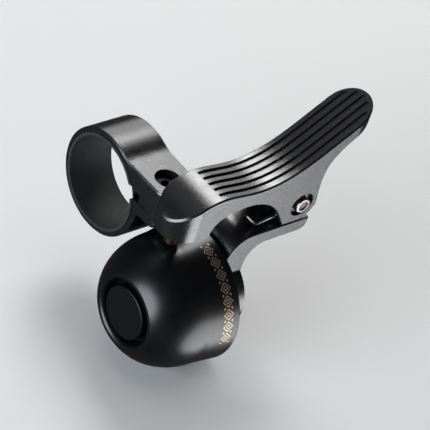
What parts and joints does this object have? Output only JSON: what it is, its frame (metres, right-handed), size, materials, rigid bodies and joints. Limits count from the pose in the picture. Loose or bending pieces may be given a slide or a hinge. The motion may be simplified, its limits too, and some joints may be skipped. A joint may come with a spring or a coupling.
{
  "type": "bicycle bell",
  "caption": "Thumb-lever bicycle bell: black dome on a bracket and bar clamp, rung by a sprung grooved lever that lifts and drops a striker.",
  "frame": {"origin": "on the handlebar's axis, in the middle of the clamp's length", "axes": "+X along the handlebar, towards the thumb tip of the lever; +Z is the outward normal of the clamp's flat plate; the bell hangs on the -Y side"},
  "size_m": [0.0567, 0.057, 0.065],
  "materials": {
    "black_anodised": "satin anodised, bead blasted",
    "black_enamel": "satin black enamel over brass",
    "matte_cap": "matt moulded",
    "black_rubber": "moulded",
    "steel": "bright",
    "black_steel": "black oxide",
    "brass": "turned",
    "bronze": "sintered bronze",
    "fibre": "matt"
  },
  "bodies": {
    "bell_body": {"clamp_band": "black_anodised", "clamp_liner": "black_rubber", "clamp_washer": "steel", "clamp_bolt": "black_steel", "clamp_thread_insert": "brass", "bracket": "black_anodised", "bell_dome": "black_enamel", "dome_front_washer": "fibre", "dome_seat_washer": "fibre", "post_gasket": "fibre", "dome_post": "brass", "dome_screw": "black_steel", "dome_cap": "matte_cap", "post_screw": "black_steel", "pivot_pin": "steel", "pivot_pin_core": "bronze", "pivot_washer_front": "bronze", "pivot_washer_back": "bronze", "spring_spool": "fibre", "pin_clip": "steel", "return_spring": "steel"},
    "thumb_lever": {"lever": "black_anodised", "striker": "brass", "striker_lock_nut": "brass"}
  },
  "joints": [
    {"name": "lever_pivot", "type": "hinge", "parent": "bell_body", "child": "thumb_lever", "pos_m": [0.0252, -0.0273, 0.0106], "axis": [0, 1, 0], "range_deg": [0, 20], "stiffness_Nm_per_rad": 0.12, "springref_deg": -20.05, "deforming": ["return_spring"]}
  ]
}
